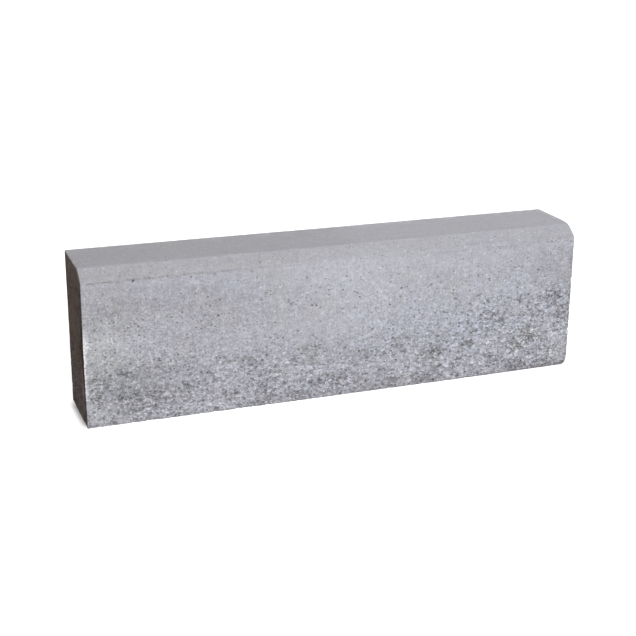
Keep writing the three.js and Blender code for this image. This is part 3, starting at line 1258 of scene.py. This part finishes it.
# the line where the mould's cut strip met the road face
seam_at = G.math("ABSOLUTE", G.math("SUBTRACT", pz, G.add(277.4, G.mul(G.noise(at, 40, 12, stretch=(1, 1, 1)), 0.8))))
seam = G.mul(
    G.ramp(G.add(seam_at, G.mul(grit, 0.5)), 2.3, 0.8),
    G.ramp(G.add(G.noise(at, 22, 13, 2.0), G.mul(sand, 1.2)), -0.6, 1.1, 0.05, 1.0),
    G.ramp(px, -60, -330, 0.16, 1.0),
    G.math("MAXIMUM", front, cut),
    G.math("SUBTRACT", 1.0, end),
)
# the small holes darkened by painted shade
tone = G.mul(tone, G.math("SUBTRACT", 1.0, G.mul(pit_mask, 0.68)))
tone = G.mul(tone, G.math("SUBTRACT", 1.0, G.mul(seam, 0.46)))
tone = G.add(tone, G.mul(scrape_mask, 0.36), G.mul(grain_mask, 0.44))

# --- colour ---
def colour_mix(a, b, t):
    node = G.new("ShaderNodeMix", data_type="RGBA", blend_type="MIX")
    G.put(node.inputs[0], t)
    G.put(node.inputs[6], a)
    G.put(node.inputs[7], b)
    return node.outputs[2]


FACE = (0.3405, 0.3395, 0.372, 1)
# the tread and the cut turn from a warmer grey at the left to a cooler one at the right
lengthwise = G.ramp(px, -420, 150)
TREAD = colour_mix((0.2710, 0.2683, 0.2868, 1), (0.2680, 0.2680, 0.2920, 1), lengthwise)
CUT = colour_mix((0.2730, 0.2715, 0.2885, 1), (0.2710, 0.2710, 0.2938, 1), lengthwise)
# the ends are a browner, darker concrete than the road face; the left end is painted darker again as painted shade
END_LEFT_STAIN_AND_SHADE = (0.240, 0.205, 0.190, 1)
END_RIGHT = (0.283, 0.269, 0.266, 1)
base = colour_mix(FACE, CUT, G.mul(G.ramp(pz, 270, 282), G.add(front, cut)))
base = colour_mix(base, TREAD, top)
end_low = G.ramp(G.add(pz, G.mul(clump, 18)), 30, 120, 1.0, 0.0)
end_colour = colour_mix(END_RIGHT, END_LEFT_STAIN_AND_SHADE, left)
end_colour = G.vec("MULTIPLY", end_colour, colour_mix((1.02, 1.0, 0.97, 1), (1.0, 1.02, 1.10, 1), end_low))


def tint(colour, by, amount):
    return G.vec("MULTIPLY", colour, colour_mix((1, 1, 1, 1), by, amount))


warmth = G.lerp(0.45, 1.0, left)
end_colour = tint(end_colour, (1.06, 1.02, 0.86, 1), G.mul(G.ramp(G.add(G.noise(at, 38, 23, 2.0), G.mul(trickle, 0.3)), 0.0, 0.9), warmth))
end_colour = tint(end_colour, (1.10, 0.96, 0.98, 1), G.mul(G.ramp(G.noise(at, 34, 24, 2.0), 0.1, 0.9), warmth))
end_colour = G.vec("SCALE", end_colour, scale=G.add(1.0, G.mul(clump, 0.16), G.mul(cloud, 0.10), G.mul(clot, 0.12), G.mul(trickle, 0.13)))
base = colour_mix(base, end_colour, end)
base = tint(base, (1.03, 1.01, 0.94, 1), G.mul(G.ramp(G.noise(at, 64, 21, 2.0), 0.15, 1.0), 0.4))
base = tint(base, (0.97, 1.0, 1.03, 1), G.mul(G.ramp(G.noise(at, 52, 22, 2.0), 0.15, 1.0), 0.7))
uneven = G.ramp(G.add(clot, clump), -0.9, 0.7, 0.35, 1.0)
base = tint(base, (0.990, 1.012, 0.945, 1), G.mul(green, uneven))
# the painted arris highlight is a warm white
base = tint(base, (1.02, 1.0, 0.955, 1), G.math("MINIMUM", edge_highlight_grained, 1.0))
base = tint(base, (0.966, 0.997, 1.045, 1), G.mul(blue, uneven))
# a faint yellow-green cast where the hollows are painted in shade
base = tint(base, (1.0, 1.012, 0.962, 1), G.mul(G.math("MAXIMUM", hollow_shade_map, 0.0), 0.8))
base = tint(base, (1.05, 0.99, 0.97, 1), G.mul(G.ramp(speck_c, 0.86, 0.98), grain))
base = tint(base, (0.96, 1.0, 1.04, 1), G.mul(G.ramp(speck_c, 0.14, 0.02), grain))
base = tint(base, (0.978, 0.999, 1.022, 1), G.mul(G.ramp(tone, 0.80, 1.12), grain))
colour = G.vec("SCALE", base, scale=G.math("MAXIMUM", tone, 0.05))
G.put(bsdf.inputs["Base Color"], colour)

# --- sheen of the surface ---
rough = G.add(0.88, G.mul(sand, 0.04), G.mul(coarse, 0.05), G.mul(top, -0.10), G.mul(swipe, top, 0.03), G.mul(pit_mask, 0.08))
G.put(bsdf.inputs["Roughness"], G.math("MINIMUM", rough, 1.0))
bsdf.inputs["Specular IOR Level"].default_value = 0.35

# --- relief too fine for the mesh, in millimetres ---
height = G.add(
    G.mul(grit, grain, 0.20 * RELIEF_GAIN),
    G.mul(sand, grain, 0.34 * RELIEF_GAIN),
    G.mul(clot, grain, G.lerp(0.10, 0.34, coarse)),
    G.mul(G.ramp(speck_d, 0.75, 0.15), grain, 0.16),
    G.mul(drag, front, 0.012),
    G.mul(swipe, top, 0.012),
    G.mul(stone, coarse, 0.30),
    G.mul(pore, -0.7),
    G.mul(gap, -0.9),
)
bump = G.new("ShaderNodeBump")
bump.inputs["Strength"].default_value = 1.0
bump.inputs["Distance"].default_value = 0.001
G.put(bump.inputs["Height"], height)
G.put(bsdf.inputs["Normal"], bump.outputs[0])
final.materials.clear()
final.materials.append(mat)

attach(kerb, "root")
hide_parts("kerb_stone")

# ---------------------------------------------------------------------------
# Floor, light and camera
# ---------------------------------------------------------------------------
floor_mesh = bpy.data.meshes.new("floor")
ring = [(40 * math.cos(a), 40 * math.sin(a), 0) for a in np.linspace(0, 2 * math.pi, 97)[:-1]]
floor_mesh.from_pydata([tuple(v) for v in ring], [], [list(range(96))])
floor = bpy.data.objects.new("studio_floor", floor_mesh)
bpy.context.scene.collection.objects.link(floor)
fm = bpy.data.materials.new("studio_floor")
fm.use_nodes = True
fb = fm.node_tree.nodes["Principled BSDF"]
fb.inputs["Base Color"].default_value = (0.50, 0.50, 0.50, 1)
fb.inputs["Roughness"].default_value = 0.9
fb.inputs["Emission Color"].default_value = (1, 1, 1, 1)
near = fm.node_tree.nodes.new("ShaderNodeAmbientOcclusion")
near.samples = 16
near.inputs["Distance"].default_value = 0.030
F = Graph(fm.node_tree)
spot = F.new("ShaderNodeSeparateXYZ")
F.put(spot.inputs[0], F.new("ShaderNodeTexCoord").outputs["Object"])
# the soft shade gathers at the foot of the block on the side away from the light
at_end = F.mul(F.ramp(spot.outputs["X"], -0.492, -0.504), F.ramp(spot.outputs["Y"], 0.085, 0.030, 0.15, 1.0), F.ramp(spot.outputs["Y"], -0.082, -0.045, 0.45, 1.0))
shady = F.math("MAXIMUM", at_end, F.mul(F.ramp(spot.outputs["Y"], 0.03, 0.08, 0.0, 0.8), F.ramp(spot.outputs["X"], -0.500, -0.470)))
shade_at_foot = F.mul(F.math("SUBTRACT", 1.0, F.ramp(near.outputs["AO"], 0.42, 0.86)), shady)
F.put(fb.inputs["Emission Strength"], F.lerp(0.74, 0.0, shade_at_foot))
grey = F.new("ShaderNodeCombineColor")
for socket, low in zip(grey.inputs[:3], (0.315, 0.30, 0.30)):
    F.put(socket, F.lerp(0.50, low, shade_at_foot))
F.put(fb.inputs["Base Color"], grey.outputs[0])
fb.inputs["Specular IOR Level"].default_value = 0.1
floor_mesh.materials.append(fm)
# a lit table: it keeps itself white, and the block, which stood in dark surroundings, takes no light from it
floor.visible_diffuse = False
floor.visible_glossy = False


def sun(name, direction, energy, angle, shadow=True):
    data = bpy.data.lights.new(name, "SUN")
    data.energy = energy
    data.angle = math.radians(angle)
    data.use_shadow = shadow
    lamp = bpy.data.objects.new(name, data)
    lamp.rotation_mode = "QUATERNION"
    lamp.rotation_quaternion = Vector(direction).to_track_quat("Z", "Y")
    bpy.context.scene.collection.objects.link(lamp)
    return lamp


sun("key", (0.0, -0.83, 0.56), 4.25, 20)
sun("fill", (0.75, 0.60, 0.28), 2.0, 60, shadow=False)
sun("rear", (0.34, 0.94, 0.0), 1.3, 16, shadow=False)

world = bpy.data.worlds.new("studio")
bpy.context.scene.world = world
world.use_nodes = True
wt = world.node_tree
wt.nodes.clear()
coord = wt.nodes.new("ShaderNodeTexCoord")
sep = wt.nodes.new("ShaderNodeSeparateXYZ")
wt.links.new(coord.outputs["Generated"], sep.inputs[0])


def step(axis, low, high, a, b):
    node = wt.nodes.new("ShaderNodeMapRange")
    node.interpolation_type = "SMOOTHSTEP"
    for key, v in (("From Min", low), ("From Max", high), ("To Min", a), ("To Max", b)):
        node.inputs[key].default_value = v
    wt.links.new(sep.outputs[axis], node.inputs["Value"])
    return node.outputs["Result"]


def times(a, b):
    node = wt.nodes.new("ShaderNodeMath")
    node.operation = "MULTIPLY"
    wt.links.new(a, node.inputs[0])
    wt.links.new(b, node.inputs[1])
    return node.outputs[0]


# bright at the horizon, dim overhead, below and on the left
sky = times(step("Z", -0.06, 0.0, 0.16, 1.0), step("Z", 0.12, 0.32, 0.92, 0.26))
sky = times(sky, step("X", -0.7, 0.3, 0.56, 1.0))
W = Graph(wt)
bg = wt.nodes.new("ShaderNodeBackground")
# the shaded side of the room is a little warm
warm = W.new("ShaderNodeMix", data_type="RGBA", blend_type="MIX")
W.put(warm.inputs[0], step("X", -0.80, -0.20, 1.0, 0.0))
W.put(warm.inputs[6], (1, 1, 1, 1))
W.put(warm.inputs[7], (1.0, 0.845, 0.765, 1))
wt.links.new(warm.outputs[2], bg.inputs["Color"])
wt.links.new(sky, bg.inputs["Strength"])
# behind the block the room shows as plain white
plain = wt.nodes.new("ShaderNodeBackground")
plain.inputs["Color"].default_value = (1, 1, 1, 1)
plain.inputs["Strength"].default_value = 1.0
pick = wt.nodes.new("ShaderNodeMixShader")
wt.links.new(wt.nodes.new("ShaderNodeLightPath").outputs["Is Camera Ray"], pick.inputs[0])
wt.links.new(bg.outputs[0], pick.inputs[1])
wt.links.new(plain.outputs[0], pick.inputs[2])
out = wt.nodes.new("ShaderNodeOutputWorld")
wt.links.new(pick.outputs[0], out.inputs[0])

scene = bpy.context.scene
scene.view_settings.view_transform = "Standard"
scene.view_settings.look = "None"
scene.view_settings.exposure = 0.0
scene.view_settings.gamma = 1.0

cam_data = bpy.data.cameras.new("camera")
cam_data.sensor_fit = "HORIZONTAL"
cam_data.sensor_width = 36.0
cam_data.lens = 1279.03 * 36.0 / 636.0
cam_data.clip_start, cam_data.clip_end = 0.05, 100.0
camera = bpy.data.objects.new("camera", cam_data)
right = Vector((0.9406679699887579, -0.3393068617016049, 0.003824112895493059))
down = Vector((-0.10536274402099903, -0.302775000666705, -0.9472201386919741))
ahead = Vector((0.3225561383846151, 0.8906167259677336, -0.3205610472545289))
turn = Matrix((right, -down, -ahead)).transposed()
camera.matrix_world = Matrix.LocRotScale(Vector((-0.839307, -2.252920, 0.948831)), turn.to_quaternion(), None)
bpy.context.scene.collection.objects.link(camera)
scene.camera = camera
